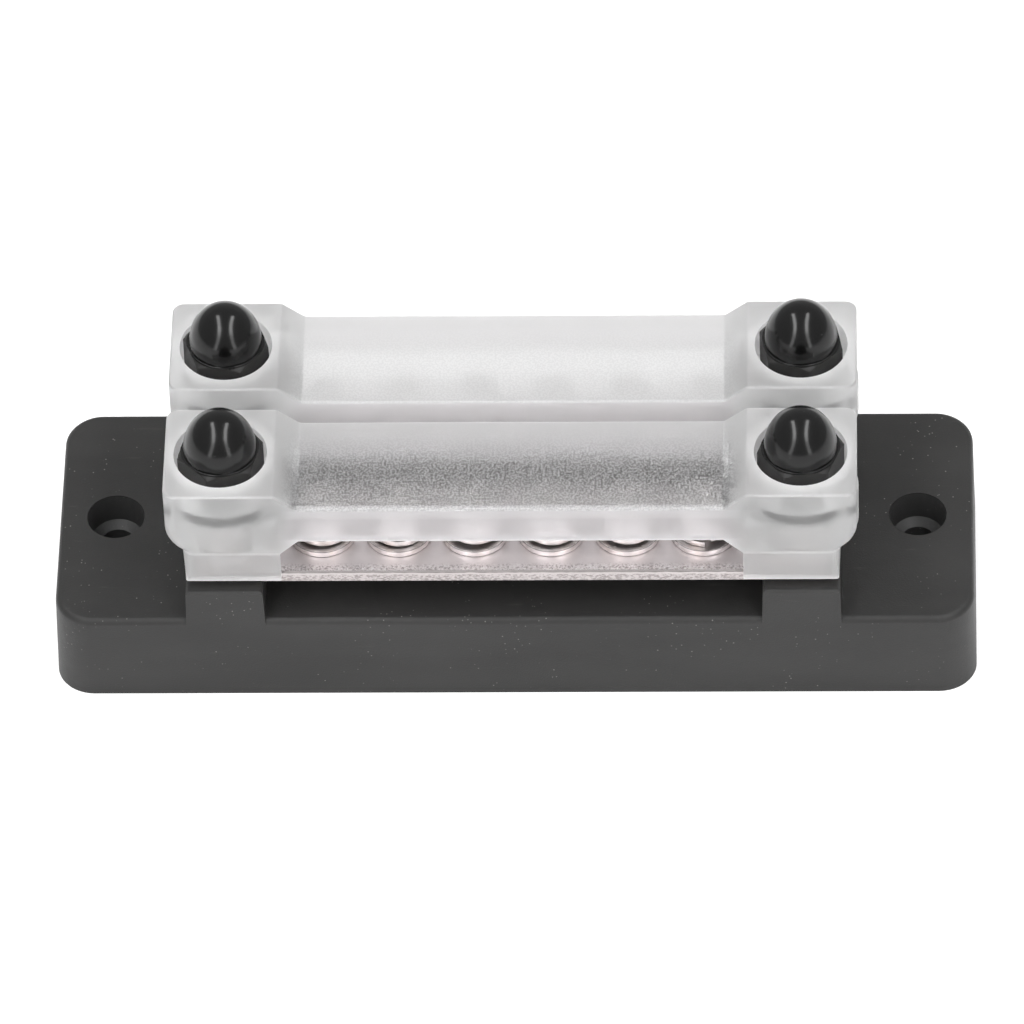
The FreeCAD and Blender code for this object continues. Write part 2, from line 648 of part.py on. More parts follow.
def make_cap_nut(name, x, y):
    """Make a hexagon with a domed cap over a blind bore."""
    body = new_body(f"{name}_cap_nut")
    hexagon = new_sketch(body, "XY_Plane")
    draw_hexagon(hexagon, "0", "0", "dims.hex_width")
    add_pad(body, hexagon, "dims.cap_hex_height")

    dome = new_sketch(body, "XZ_Plane")
    foot = "dims.cap_hex_height / 2"
    centre = "(dims.cap_hex_height + dims.cap_neck)"
    low, middle, radius = value(foot), value(centre), value("dims.cap_dome_radius")
    points = [
        FreeCAD.Vector(0, low, 0),
        FreeCAD.Vector(radius, low, 0),
        FreeCAD.Vector(radius, middle, 0),
        FreeCAD.Vector(0, middle + radius, 0),
    ]
    floor = dome.addGeometry(Part.LineSegment(points[0], points[1]), False)
    neck = dome.addGeometry(Part.LineSegment(points[1], points[2]), False)
    sphere = Part.Circle(FreeCAD.Vector(0, middle, 0), FreeCAD.Vector(0, 0, 1), radius)
    arc = dome.addGeometry(Part.ArcOfCircle(sphere, 0, math.pi / 2), False)
    axis = dome.addGeometry(Part.LineSegment(points[3], points[0]), False)
    dome.addConstraint(Sketcher.Constraint("Coincident", floor, 2, neck, 1))
    dome.addConstraint(Sketcher.Constraint("Coincident", neck, 2, arc, 1))
    dome.addConstraint(Sketcher.Constraint("Coincident", arc, 2, axis, 1))
    dome.addConstraint(Sketcher.Constraint("Coincident", axis, 2, floor, 1))
    dome.addConstraint(Sketcher.Constraint("Vertical", axis))
    dome.addConstraint(Sketcher.Constraint("Vertical", neck))
    drive_point(dome, floor, 1, "0", foot)
    drive_point(dome, arc, 3, "0", centre)
    drive(dome, "Radius", (arc,), "dims.cap_dome_radius")
    dome.addConstraint(Sketcher.Constraint("Horizontal", floor))
    doc.recompute()
    add_turned(body, "Revolution", dome)

    bore = new_sketch(body, "XY_Plane")
    draw_circle(bore, "0", "0", "levels.stud_bore")
    add_pocket(body, bore, "levels.cap_bore_depth", reverse=True)
    place(body, x, y, "levels.cap_nut_seat", CAP_NUT_TURNS[name])
    return body


# Clamping screws and their washers

def make_terminal_screw(row, number, x):
    """Make a pan head screw whose bearing face is at its own height zero."""
    body = new_body(f"{row}_terminal_screw_{number + 1}")
    head = new_sketch(body, "XY_Plane")
    draw_circle(head, "0", "0", "dims.screw_head_diameter")
    add_pad(body, head, "dims.screw_head_height")
    add_chamfer(body, "dims.screw_head_bevel", lambda edge: lies_at(edge, value("dims.screw_head_height")))
    shank = new_sketch(body, "XY_Plane")
    draw_circle(shank, "0", "0", "dims.screw_diameter")
    add_pad(body, shank, "dims.screw_length", reverse=True)
    add_chamfer(body, "dims.screw_tip_chamfer", lambda edge: lies_at(edge, -value("dims.screw_length")))
    cross = new_sketch(body, "XY_Plane", "dims.screw_head_height")
    tip, wing = "dims.drive_span / 2", "dims.drive_width / 2"
    quarter = [(tip, f"-{wing}"), (tip, wing), (wing, wing)]
    quarter += [(wing, tip), (f"-{wing}", tip), (f"-{wing}", wing)]
    draw_polygon(cross, quarter + [(f"-({a})", f"-({b})") for a, b in quarter])
    add_pocket(body, cross, "dims.drive_depth")
    y = signed(ROWS[row], "levels.row_offset")
    place(body, x, y, "levels.screw_seat", SCREW_TURNS[row][number])
    return body


def make_lock_washer(row, number, x):
    """Make one turn of flat wire that rises to the left, as it does before it is pressed flat."""
    body = new_body(f"{row}_lock_washer_{number + 1}")
    wire = new_sketch(body, "XZ_Plane")
    inner, outer = "dims.washer_hole / 2", "dims.lock_washer_diameter / 2"
    draw_rectangle(wire, inner, outer, "0", "dims.lock_washer_thickness")
    coil = body.newObject("PartDesign::AdditiveHelix", "Coil")
    coil.Profile = wire
    coil.ReferenceAxis = (wire, ["V_Axis"])
    coil.Mode = "pitch-turns-angle"
    coil.setExpression("Pitch", "dims.lock_washer_lead")
    coil.setExpression("Turns", "dims.lock_washer_turns")
    coil.Angle = 0
    coil.LeftHanded = True
    coil.Reversed = False
    wire.Visibility = False
    y = signed(ROWS[row], "levels.row_offset")
    place(body, x, y, "levels.lock_washer_bottom", LOCK_WASHER_TURNS[row][number])
    return body


def make_group(label, members):
    group = doc.addObject("Part::Compound", label)
    group.Links = members
    group.Label = label
    return group


def make_flat_washers(row):
    """Make the row's identical flat washers as one group."""
    washers = []
    for number, x in enumerate(terminal_places()):
        name = f"{row}_washer_{number + 1}"
        ring = make_washer(name, "dims.washer_diameter", "dims.washer_hole", "dims.washer_thickness")
        place(ring, x, signed(ROWS[row], "levels.row_offset"), "levels.busbar_top")
        washers.append(ring)
    return make_group(f"{row}_flat_washers", washers)


def make_all():
    """Build every piece and return the ones that are written out."""
    pieces = [make_base()]
    for row in ROWS:
        pieces.append(make_busbar(row))
        pieces.append(make_cover(row))
        pieces.append(make_flat_washers(row))
        coils = []
        for number, x in enumerate(terminal_places()):
            pieces.append(make_terminal_screw(row, number, x))
            coils.append(make_lock_washer(row, number, x))
        pieces.append(make_group(f"{row}_lock_washers", coils))
    for name, x, y in stud_places():
        pieces.append(make_stud(name, x, y))
        pieces.append(make_stud_washer(name, x, y))
        pieces.append(make_stud_lock_washer(name, x, y))
        pieces.append(make_stud_nut(name, x, y))
        pieces.append(make_cap_nut(name, x, y))
    return pieces


def check(pieces):
    """Stop if any object failed or any piece has no sound shape."""
    for item in doc.Objects:
        if "Invalid" in item.State or "Error" in item.State:
            raise ValueError(f"{item.Label} ({item.Name}) failed: {item.State}")
    for piece in pieces:
        if piece.Shape.isNull() or not piece.Shape.isValid():
            raise ValueError(f"{piece.Label} has no sound shape")


parts = make_all()
doc.recompute()
check(parts)
os.makedirs("parts", exist_ok=True)
for part in parts:
    part.Shape.exportStep(f"parts/{part.Label}.step")
print(f"{len(parts)} pieces written")
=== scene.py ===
"""A power distribution block with two rows of screw terminals under frosted covers.

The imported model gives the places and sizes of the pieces. This script dresses them: the moulded pieces are
copied and shaded smoothly, the screws, nuts, washers and studs are made again with threads, recesses and
rounded edges, and every finish is worked out by nodes. All lengths are in metres.
"""

import json
import math

import bmesh
import bpy
import numpy as np
from mathutils import Matrix, Vector


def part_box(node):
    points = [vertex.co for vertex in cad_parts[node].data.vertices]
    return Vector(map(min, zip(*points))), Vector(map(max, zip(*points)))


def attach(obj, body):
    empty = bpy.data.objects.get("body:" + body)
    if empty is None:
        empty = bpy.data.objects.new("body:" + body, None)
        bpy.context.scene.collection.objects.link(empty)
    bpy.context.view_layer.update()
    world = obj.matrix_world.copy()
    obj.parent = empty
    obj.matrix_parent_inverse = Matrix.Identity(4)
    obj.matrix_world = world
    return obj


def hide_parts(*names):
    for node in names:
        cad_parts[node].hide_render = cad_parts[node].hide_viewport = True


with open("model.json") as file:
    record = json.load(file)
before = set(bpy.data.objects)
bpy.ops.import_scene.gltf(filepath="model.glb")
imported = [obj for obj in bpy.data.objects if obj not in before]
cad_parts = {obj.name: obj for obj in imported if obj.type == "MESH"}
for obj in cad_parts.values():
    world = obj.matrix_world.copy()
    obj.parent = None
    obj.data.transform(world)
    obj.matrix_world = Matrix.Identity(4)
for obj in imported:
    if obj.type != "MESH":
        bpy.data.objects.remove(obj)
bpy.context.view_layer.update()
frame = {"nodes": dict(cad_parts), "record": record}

MM = 0.001
FULL_TURN = 2 * math.pi

ROWS = ("front", "rear")
SIDES = ("left", "right")
STUDS = tuple(f"{row}_{side}" for row in ROWS for side in SIDES)
TERMINALS = range(1, 7)

# How far each fastener was turned when it was tightened, in degrees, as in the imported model
CAP_NUT_TURNS = {"front_left": 15.0, "front_right": 8.0, "rear_left": 51.5, "rear_right": 42.0}
STUD_NUT_TURN = 20.0
STUD_SPLIT_TURNS = {"front_left": 60.0, "front_right": 32.0, "rear_left": 206.0, "rear_right": 168.0}
SCREW_TURNS = {
    "front": (12.0, 70.0, 33.0, 51.0, 5.0, 80.0),
    "rear": (44.0, 18.0, 62.0, 8.0, 75.0, 27.0),
}
LOCK_WASHER_TURNS = {
    "front": (60.0, 20.0, 150.0, 75.0, 110.0, 272.0),
    "rear": (200.0, 95.0, 310.0, 35.0, 165.0, 250.0),
}


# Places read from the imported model

def middle(node):
    """The point halfway between a node's lowest and highest corners."""
    low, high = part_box(node)
    return (low + high) / 2


def foot(node):
    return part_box(node)[0].z


def top(node):
    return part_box(node)[1].z


def span(node, axis=0):
    low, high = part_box(node)
    return high[axis] - low[axis]


def body_of(node):
    """The body that carries a node."""
    for body, members in frame["record"]["behaviour"]["bodies"].items():
        if node in members:
            return body
    raise ValueError(f"no body carries {node}")


# Sizes of the covers, the base and the busbars

COVER_HEM = foot("front_cover")
COVER_LEDGE = COVER_HEM + 5.1 * MM
COVER_RIM = COVER_LEDGE + 2.5 * MM
COVER_ROOF = top("front_cover") - 2.5 * MM
COVER_SLOPE_HEAD = 30.7 * MM
COVER_SLOPE_FOOT = 27.7 * MM
COVER_HALF_WIDTH = span("front_cover", 1) / 2
COVER_CORNER = 1.6 * MM
SKIRT_CORNER = 0.4 * MM
SKIRT_END = 42.7 * MM
SKIRT_DRAFT = 0.2 / 5.1
ROW_OFFSET = abs(middle("front_cover").y)
STUD_REACH = abs(middle("front_left_cap_nut").x)
DECK_HEIGHT = 13.8 * MM
HOLE_REACH = 53.0 * MM
HOLE_MOUTH = 3.8 * MM
HOLE_WALL_FOOT = 9.6 * MM
BUSBAR_TOP = top("front_busbar")
BUSBAR_HALF_WIDTH = span("front_busbar", 1) / 2
WASHER_THICKNESS = top("front_flat_washers") - foot("front_flat_washers")

# Sizes of the fasteners

HEX_WIDTH = 10.0 * MM
HEX_EDGE = 0.12 * MM
HEX_SOFTNESS = 0.06 * MM
HEX_STEPS = 180
CAP_HEX_HEIGHT = 5.8 * MM
CAP_NECK = 1.15 * MM
CAP_DOME_RADIUS = 4.8 * MM
CAP_FILLET = 0.1 * MM
CAP_SHOULDER = foot("front_left_cap_nut") + CAP_HEX_HEIGHT
NUT_BEVEL_RADIUS = 5.15 * MM
STUD_RADIUS = 3.0 * MM
STUD_PITCH = 1.0 * MM
STUD_HEAD_HEIGHT = 4.0 * MM
STUD_PLAIN_LENGTH = 9.0 * MM
STUD_WASHER_BORE = STUD_RADIUS + 0.2 * MM
STUD_LOCK_WASHER_RADIUS = STUD_RADIUS + 2.9 * MM
STUD_LOCK_WASHER_THICKNESS = 1.6 * MM
THREAD_CLEARANCE = 0.05 * MM
SCREW_RADIUS = 2.0 * MM
SCREW_PITCH = 0.7 * MM
SCREW_LENGTH = 6.0 * MM
SCREW_WASHER_BORE = 2.15 * MM
SCREW_LOCK_WASHER_THICKNESS = 0.9 * MM
HEAD_RADIUS = 4.0 * MM
HEAD_HEIGHT = 3.0 * MM
HEAD_ROUNDING = 1.8 * MM
HEAD_STEPS = 144
RECESS_SPAN = 2.3 * MM
RECESS_WING = 1.1 * MM
RECESS_DEPTH = 1.7 * MM


# Finishes

class Signal:
    """A socket whose value is worked out further, with one Math node for each operator or method."""

    def __init__(self, finish, socket):
        self.finish = finish
        self.socket = socket

    def work_out(self, operation, *others):
        return self.finish.maths(operation, self, *others)

    def __add__(self, other):
        return self.work_out("ADD", other)

    __radd__ = __add__

    def __mul__(self, other):
        return self.work_out("MULTIPLY", other)

    __rmul__ = __mul__

    def __sub__(self, other):
        return self.work_out("SUBTRACT", other)

    def __rsub__(self, other):
        return self.finish.maths("SUBTRACT", other, self)

    def __pow__(self, other):
        return self.work_out("POWER", other)

    def __abs__(self):
        return self.work_out("ABSOLUTE")

    def at_most(self, other):
        return self.work_out("MINIMUM", other)

    def at_least(self, other):
        return self.work_out("MAXIMUM", other)

    def rising(self, start, end):
        """A smooth step from 0 at start to 1 at end."""
        return self.finish.node("ShaderNodeMapRange", {"interpolation_type": "SMOOTHSTEP"},
                                {"Value": self, "From Min": start, "From Max": end})["Result"]

    def falling(self, start, end):
        """A smooth step from 1 at start to 0 at end."""
        return 1 - self.rising(start, end)


class Outputs:
    """The output sockets of a node, by name, as signals."""

    def __init__(self, finish, node):
        self.finish = finish
        self.node = node

    def __getitem__(self, name):
        sockets = [socket for socket in self.node.outputs if socket.enabled and socket.name == name]
        return Signal(self.finish, sockets[0])


class Finish:
    """A material of one Principled shader, with the nodes that feed it."""

    def __init__(self, name, **constants):
        self.material = bpy.data.materials.new(name)
        self.material.use_nodes = True
        self.tree = self.material.node_tree
        self.shader = self.tree.nodes["Principled BSDF"]
        self.output = self.tree.nodes["Material Output"]
        for words, constant in constants.items():
            socket = self.shader.inputs[words.replace("_", " ").title().replace("Ior", "IOR")]
            socket.default_value = constant
        self.place = self.node("ShaderNodeTexCoord", {}, {})["Object"]

    def node(self, kind, settings, inputs):
        """Add a node: its settings come first, then each socket's value or link."""
        node = self.tree.nodes.new(kind)
        for name, setting in settings.items():
            setattr(node, name, setting)
        for name, given in inputs.items():
            if isinstance(name, int):
                socket = node.inputs[name]
            else:
                socket = next(item for item in node.inputs if item.enabled and item.name == name)
            if isinstance(given, Signal):
                self.tree.links.new(given.socket, socket)
            else:
                socket.default_value = given
        return Outputs(self, node)

    def maths(self, operation, *values):
        return self.node("ShaderNodeMath", {"operation": operation}, dict(enumerate(values)))["Value"]

    def blend(self, factor, first, second):
        """Mix two colours."""
        return self.node("ShaderNodeMix", {"data_type": "RGBA"},
                         {"Factor": factor, "A": first, "B": second})["Result"]

    def stretched(self, scale, turn=(0, 0, 0)):
        """The place on the object, scaled and turned."""
        return self.node("ShaderNodeMapping", {},
                         {"Vector": self.place, "Scale": scale, "Rotation": turn})["Vector"]

    def coordinates(self):
        """The three coordinates of the place on the object."""
        parts = self.node("ShaderNodeSeparateXYZ", {}, {"Vector": self.place})
        return parts["X"], parts["Y"], parts["Z"]

    def levelness(self):
        """1 where the surface is level and 0 where it is upright."""
        direction = self.node("ShaderNodeNewGeometry", {}, {})["Normal"]
        return abs(self.node("ShaderNodeSeparateXYZ", {}, {"Vector": direction})["Z"])

    def noise(self, size, detail=2.0, vector=None, seed=0.0):
        """Noise from 0 to 1 whose blotches are about size metres across."""
        return self.node("ShaderNodeTexNoise", {"noise_dimensions": "4D"},
                         {"Vector": vector or self.place, "W": seed, "Scale": 1 / size, "Detail": detail})["Fac"]

    def cells(self, size):
        """Distance from the nearest of many scattered points, in units of size."""
        return self.node("ShaderNodeTexVoronoi", {}, {"Vector": self.place, "Scale": 1 / size})["Distance"]

    def feed(self, **signals):
        """Link signals to the shader's sockets."""
        for words, signal in signals.items():
            self.tree.links.new(signal.socket, self.shader.inputs[words.replace("_", " ").title()])

    def own(self):
        """The finish's own shader."""
        return Signal(self, self.shader.outputs["BSDF"])

    def shader_mix(self, factor, first, second):
        """Mix two shaders."""
        return self.node("ShaderNodeMixShader", {}, {0: factor, 1: first, 2: second})["Shader"]

    def show(self, shader):
        self.tree.links.new(shader.socket, self.output.inputs["Surface"])

    def bump(self, height, depth):
        """Raise the surface by depth metres where the signal is 1."""
        relief = self.node("ShaderNodeBump", {}, {"Height": height, "Distance": depth})
        self.tree.links.new(relief["Normal"].socket, self.shader.inputs["Normal"])


def grey(level, warmth=0.0):
    """A grey colour, slightly towards red and away from blue by warmth."""
    return (level * (1 + warmth), level, level * (1 - warmth), 1.0)


def moulding_black():
    """Black thermoplastic with a fine spark-eroded grain, faint flow marks, pale dust and a few scuffs, and
    painted light that makes it a little paler in the mounting holes."""
    finish = Finish("moulding_black", ior=1.5, specular_ior_level=0.36)
    x, y, z = finish.coordinates()
    flow = finish.noise(9 * MM, 3.0, vector=finish.stretched((0.35, 1.0, 1.0)))
    grain = finish.noise(0.22 * MM)
    swell = finish.noise(1.1 * MM, seed=3.0)
    dusty = finish.noise(6 * MM, seed=2.0).rising(0.46, 0.62)
    dust = finish.cells(0.9 * MM).falling(0.06, 0.13) * dusty
    scratched = finish.stretched((0.25, 1.6, 1.6), (0.2, 0.1, 0.5))
    scuffs = finish.noise(1.4 * MM, 4.0, vector=scratched, seed=5.0).rising(0.66, 0.74)
    from_hole = ((abs(x) - HOLE_REACH) ** 2 + y ** 2) ** 0.5
    # painted light: the walls and floors of the mounting holes get a paler colour than the deck
    painted_hole_light = from_hole.falling(HOLE_MOUTH - 0.02 * MM, HOLE_MOUTH + 0.04 * MM)
    painted_hole_light = painted_hole_light * z.falling(DECK_HEIGHT - 0.2 * MM, DECK_HEIGHT - 0.1 * MM)
    colour = finish.blend(flow.rising(0.3, 0.7), grey(0.0160, 0.02), grey(0.0215, 0.02))
    colour = finish.blend(painted_hole_light, colour, grey(0.03))
    colour = finish.blend(dust.at_least(scuffs * 0.1) * 0.8, colour, grey(0.16, 0.05))
    roughness = 0.47 + grain * 0.12 + scuffs * 0.12 - flow * 0.06
    finish.feed(base_color=colour, roughness=roughness.at_most(0.75))
    finish.bump(grain * 0.7 + swell * 0.3, 0.035 * MM)
    return finish.material


def painted_edge_glow(finish, upright, thick):
    """Where a cover's walls end, painted light makes their edges glow: under the middle roof, at the rims of the
    wire windows, at the hem and the ledge, and along the side that faces the other row."""
    x, y, z = finish.coordinates()
    under_roof = z.rising(COVER_ROOF - 2.0 * MM, COVER_ROOF - 1.4 * MM)
    under_roof = under_roof * z.falling(COVER_ROOF - 0.3 * MM, COVER_ROOF)
    rim = z.falling(COVER_RIM, COVER_RIM + 0.55 * MM)
    hem = z.falling(COVER_HEM, COVER_HEM + 0.7 * MM)
    ledge = z.rising(COVER_LEDGE - 0.25 * MM, COVER_LEDGE) * z.falling(COVER_LEDGE, COVER_LEDGE + 0.35 * MM)
    inner_side = abs(y).falling(2.4 * MM, 3.2 * MM)
    round_window = (under_roof * 0.4).at_least(rim * 0.8) * (1 - thick)
    return round_window.at_least(hem).at_least(ledge * 0.9).at_least(inner_side * 0.5) * upright


def milky_body(finish):
    """The milk in frosted plastic: part of the light is scattered back and part is let through."""
    back = finish.node("ShaderNodeBsdfPrincipled", {},
                       {"Base Color": grey(0.87), "Roughness": 0.45, "IOR": 1.49})["BSDF"]
    through = finish.node("ShaderNodeBsdfTranslucent", {}, {"Color": grey(0.89)})["BSDF"]
    return finish.shader_mix(0.45, back, through)


def frosted_cover():
    """Frosted translucent plastic: a rough clear skin over a slightly milky body, with fine speckle in the thin
    middle roof, whose tint is darkened as painted shade and lightened towards each roof's rear edge as painted
    light, more milk in the thick ends and in the rear row, and a painted glow along its edges and on the roof's
    speckle."""
    finish = Finish("frosted_cover", ior=1.49, transmission_weight=1.0, emission_strength=0.45)
    x, y, z = finish.coordinates()
    grain = finish.noise(0.28 * MM, 1.0)
    cloud = finish.noise(7 * MM, seed=4.0)
    mottle = finish.noise(1.3 * MM, 3.0, seed=8.0)

    upright = finish.levelness().falling(0.3, 0.7)
    level = 1 - upright
    thick = abs(x).rising(COVER_SLOPE_FOOT, COVER_SLOPE_HEAD)
    thin_roof = level * (1 - thick)
    across = abs(abs(y) - ROW_OFFSET)
    border = level * across.rising(COVER_HALF_WIDTH - 0.5 * MM, COVER_HALF_WIDTH - 0.2 * MM)
    from_stud = ((abs(x) - STUD_REACH) ** 2 + across ** 2) ** 0.5
    nest = from_stud.falling(5.9 * MM, 8.0 * MM)
    rear_row = y.rising(0.0, 1.0 * MM)
    row_middle = (y.rising(-0.1 * MM, 0.1 * MM) * 2 - 1) * ROW_OFFSET
    towards_rear = (y - row_middle).rising(-1.0 * MM, 7.5 * MM)

    speckle = grain.rising(0.44, 0.58)
    # the thin roof's speckled tint is darker than the rest of the cover: painted shade
    speckle_and_shade = finish.blend(speckle, grey(0.58), grey(0.76))
    colour = finish.blend(cloud.rising(0.25, 0.75), grey(0.81), grey(0.85))
    colour = finish.blend(upright * (1 - thick), colour, (0.82, 0.785, 0.81, 1.0))
    # painted light: the thin roof's tint grows lighter towards each roof's rear edge
    colour = finish.blend(thin_roof, colour, finish.blend(towards_rear, speckle_and_shade, grey(0.80)))
    # painted glints: the speckle in the front row's thin roof glows a little
    painted_glints = speckle * thin_roof * (1 - rear_row) * (1 - towards_rear * 0.8)
    # painted glow, given as emission, along the edges, at the roof's side borders and on the speckle
    painted_glow = painted_edge_glow(finish, upright, thick).at_least(border * 0.5) + painted_glints * 0.3
    finish.feed(base_color=colour, roughness=0.34 + mottle * 0.08 - thin_roof * 0.07,
                emission_color=finish.blend(painted_glow, grey(0.0), grey(0.49)))
    finish.bump(grain * thin_roof, 0.014 * MM)

    roof_milk = speckle * (0.2 - rear_row * 0.12) + towards_rear * (0.22 - rear_row * 0.2)
    roof_milk = (roof_milk + rear_row * 0.42 - 0.03) * thin_roof
    end_milk = thick * (level * 0.22 + nest * 0.32 - upright * 0.03)
    wall_milk = upright * (0.13 + rear_row * 0.12) + mottle * (1 - thin_roof) * 0.12
    haze = 0.03 + roof_milk + end_milk + wall_milk
    finish.show(finish.shader_mix(haze, finish.own(), milky_body(finish)))
    return finish.material


def cap_black():
    """Black cap nut: a glossy dome over a satin hexagon."""
    finish = Finish("cap_black", ior=1.5, specular_ior_level=0.33)
    x, y, z = finish.coordinates()
    hexagon = z.falling(CAP_SHOULDER - 0.15 * MM, CAP_SHOULDER + 0.1 * MM)
    grain = finish.noise(0.18 * MM)
    smear = finish.noise(3.5 * MM, 3.0, seed=1.0)
    swell = finish.noise(1.6 * MM, 1.0, seed=7.0)
    fleck = finish.cells(0.8 * MM).falling(0.04, 0.09) * smear.rising(0.5, 0.6)
    colour = finish.blend(hexagon, grey(0.003), grey(0.013, 0.03))
    colour = finish.blend(fleck * 0.5, colour, grey(0.2))
    finish.feed(base_color=colour, roughness=0.13 + smear * 0.08 + hexagon * (0.26 + grain * 0.1))
    finish.bump(grain * hexagon * 0.5 + swell * 0.5, 0.02 * MM)
    return finish.material


def plated_busbar():
    """Copper strip with a dull tin plate: rolling lines along it, specks near its long edges, and a sheared long
    side with painted shade along its top edge, a smooth bright band under it and a torn lower part."""
    finish = Finish("plated_copper", metallic=1.0)
    x, y, z = finish.coordinates()
    side = finish.levelness().falling(0.6, 0.98)
    across = abs(abs(y) - ROW_OFFSET)
    edge = across.rising(BUSBAR_HALF_WIDTH - 1.7 * MM, BUSBAR_HALF_WIDTH - 0.5 * MM) * (1 - side)
    speck = finish.noise(0.26 * MM, seed=9.0)
    rolling = finish.noise(0.5 * MM, 3.0, vector=finish.stretched((0.03, 1.0, 1.0)))
    cloud = finish.noise(5 * MM, 3.0, seed=1.0)
    torn = finish.noise(0.26 * MM, 3.0, vector=finish.stretched((0.7, 1.0, 1.2)), seed=2.0)
    wander = (finish.noise(1.5 * MM, seed=6.0) - 0.5) * 0.3 * MM
    depth = BUSBAR_TOP - z + wander
    # painted shade: a dark line along the sheared side just under its top edge
    lip = depth.falling(0.24 * MM, 0.36 * MM)
    tear = depth.rising(0.50 * MM, 0.75 * MM)

    dull_tin, bright_tin = (0.77, 0.72, 0.725, 1.0), (0.88, 0.82, 0.825, 1.0)
    dark_speck, bright_speck = (0.46, 0.41, 0.41, 1.0), (0.97, 0.94, 0.94, 1.0)
    sheared, pitted, shadowed = (0.56, 0.52, 0.52, 1.0), (0.34, 0.31, 0.305, 1.0), (0.13, 0.12, 0.115, 1.0)
    colour = finish.blend(cloud.rising(0.3, 0.7), dull_tin, bright_tin)
    colour = finish.blend(edge * speck.rising(0.50, 0.62), colour, dark_speck)
    colour = finish.blend(edge * speck.falling(0.36, 0.46), colour, bright_speck)
    colour = finish.blend(side, colour, sheared)
    colour = finish.blend(side * tear * torn.rising(0.42, 0.60), colour, pitted)
    # the painted shade along the sheared side's top edge
    colour = finish.blend(side * lip * 0.9, colour, shadowed)
    finish.feed(base_color=colour, roughness=0.36 + rolling * 0.14 + side * 0.12)
    finish.bump(rolling * (1 - side) * 0.2 + speck * (0.12 + edge * 0.5) + torn * side * tear, 0.08 * MM)
    return finish.material


def nickel_screw():
    """Nickel-plated steel with fine turning lines and slight tarnish."""
    finish = Finish("nickel_steel", metallic=1.0)
    tarnish = finish.noise(1.5 * MM, 3.0)
    fine = finish.noise(0.12 * MM, seed=2.0)
    bright, tarnished = (0.80, 0.78, 0.77, 1.0), (0.62, 0.59, 0.58, 1.0)
    colour = finish.blend(tarnish.rising(0.35, 0.75), bright, tarnished)
    finish.feed(base_color=colour, roughness=0.16 + tarnish * 0.1 + fine * 0.05)
    finish.bump(fine, 0.006 * MM)
    return finish.material


def zinc_hardware():
    """Zinc-plated steel with warmer patches, a little rougher than the screws, and painted shade in the joints
    above and below the flat washers."""
    finish = Finish("zinc_steel", metallic=1.0)
    x, y, z = finish.coordinates()
    patches = finish.noise(2.5 * MM, 3.0)
    fine = finish.noise(0.15 * MM, seed=2.0)
    half = WASHER_THICKNESS / 2
    rise = abs(z - BUSBAR_TOP - half)
    # painted shade: thin dark lines where the flat washers meet the busbar below and the lock washers above
    joint_shade = rise.rising(half - 0.14 * MM, half - 0.06 * MM) * rise.falling(half + 0.04 * MM, half + 0.1 * MM)
    joint_shade = joint_shade * finish.levelness().falling(0.8, 0.97)
    cool, warm, shadowed = (0.70, 0.67, 0.67, 1.0), (0.60, 0.55, 0.53, 1.0), (0.10, 0.09, 0.085, 1.0)
    colour = finish.blend(patches.rising(0.4, 0.68), cool, warm)
    colour = finish.blend(joint_shade * 0.8, colour, shadowed)
    finish.feed(base_color=colour, roughness=0.24 + patches * 0.12 + fine * 0.06)
    finish.bump(fine, 0.01 * MM)
    return finish.material


# Surfaces

def angles(steps):
    """Evenly spaced angles round the axis."""
    return np.arange(steps) * FULL_TURN / steps


def round_axis(r, u, z):
    """Points (r cos u, r sin u, z) row by row, from three arrays that fit one grid."""
    r, u, z = np.broadcast_arrays(r, u, z)
    return np.stack((r * np.cos(u), r * np.sin(u), z), -1).reshape(-1, 3)


def arc(centre, radius, start, end, steps):
    """Points on a circle: centre + radius * (cos t, sin t), for t from start to end in degrees."""
    t = np.radians(np.linspace(start, end, steps))
    return np.column_stack((centre[0] + radius * np.cos(t), centre[1] + radius * np.sin(t)))


def grid_faces(rows, columns, close_rows=False, close_columns=False):
    """Quads between neighbouring points of a grid that is stored row by row."""
    row = np.arange(rows if close_rows else rows - 1)[:, None]
    column = np.arange(columns if close_columns else columns - 1)[None, :]
    after_row, after_column = (row + 1) % rows, (column + 1) % columns
    corners = (row * columns + column, row * columns + after_column,
               after_row * columns + after_column, after_row * columns + column)
    return np.stack([np.broadcast_to(corner, (row.size, column.size)) for corner in corners], -1).reshape(-1, 4)


def turned(profile, steps=96, closed=False):
    """Surface of revolution: (r(v) cos u, r(v) sin u, z(v)) for a profile of radius and height pairs, which may
    be a closed loop, as of a washer."""
    r, z = np.asarray(profile).T[..., None]
    return round_axis(r, angles(steps), z), grid_faces(len(r), steps, close_rows=closed, close_columns=True)


def rounded_rectangle(low, high, radius, steps=4):
    """A loop round a rectangle whose corners are arcs of the given radius."""
    corners = ((high[0], low[1], -1, 1, -90), (high[0], high[1], -1, -1, 0),
               (low[0], high[1], 1, -1, 90), (low[0], low[1], 1, 1, 180))
    return np.concatenate([arc((x + sx * radius, y + sy * radius), radius, start, start + 90, steps)
                           for x, y, sx, sy, start in corners])


def thread_radius(u, z, major, pitch, low, high):
    """Radius of a threaded shank: the major radius less a triangle wave of z / pitch - u / turn with flattened
    crests and roots, which fades out at the two heights between which it runs."""
    depth = 0.58 * pitch
    phase = (z / pitch - u / FULL_TURN) % 1.0
    wave = np.clip(np.abs(2 * phase - 1) * 1.3 - 0.1, 0, 1)
    fade = np.clip((z - low) / pitch, 0, 1) * np.clip((high - z) / pitch, 0, 1)
    return major - depth * wave * fade


